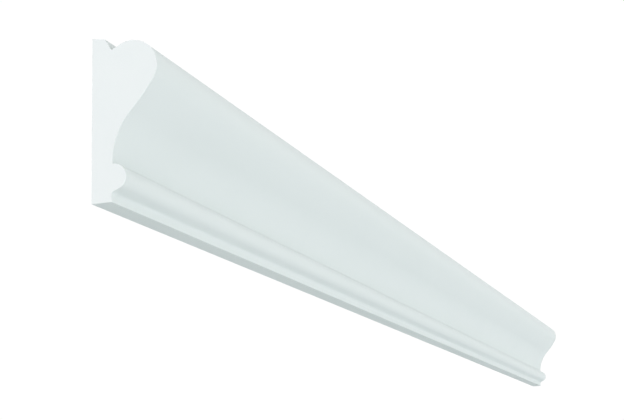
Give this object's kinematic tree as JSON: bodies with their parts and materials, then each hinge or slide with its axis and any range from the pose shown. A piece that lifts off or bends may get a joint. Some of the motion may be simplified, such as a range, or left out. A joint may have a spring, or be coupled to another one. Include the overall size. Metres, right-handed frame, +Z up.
{
  "type": "picture rail moulding",
  "caption": "Straight length of wall moulding: flat back, hook groove behind a large roll, then an ogee, a bead and a small square foot.",
  "frame": {"origin": "centre of the flat back, where the rail meets the wall", "axes": "+X along the length of the rail, +Y out of the back into the wall, +Z up; the mouldings face -Y"},
  "size_m": [1, 0.0203, 0.05],
  "materials": {
    "white_primer": "smooth matt white primer over white moulded polymer"
  },
  "bodies": {
    "root": {"moulding": "white_primer"}
  },
  "joints": []
}
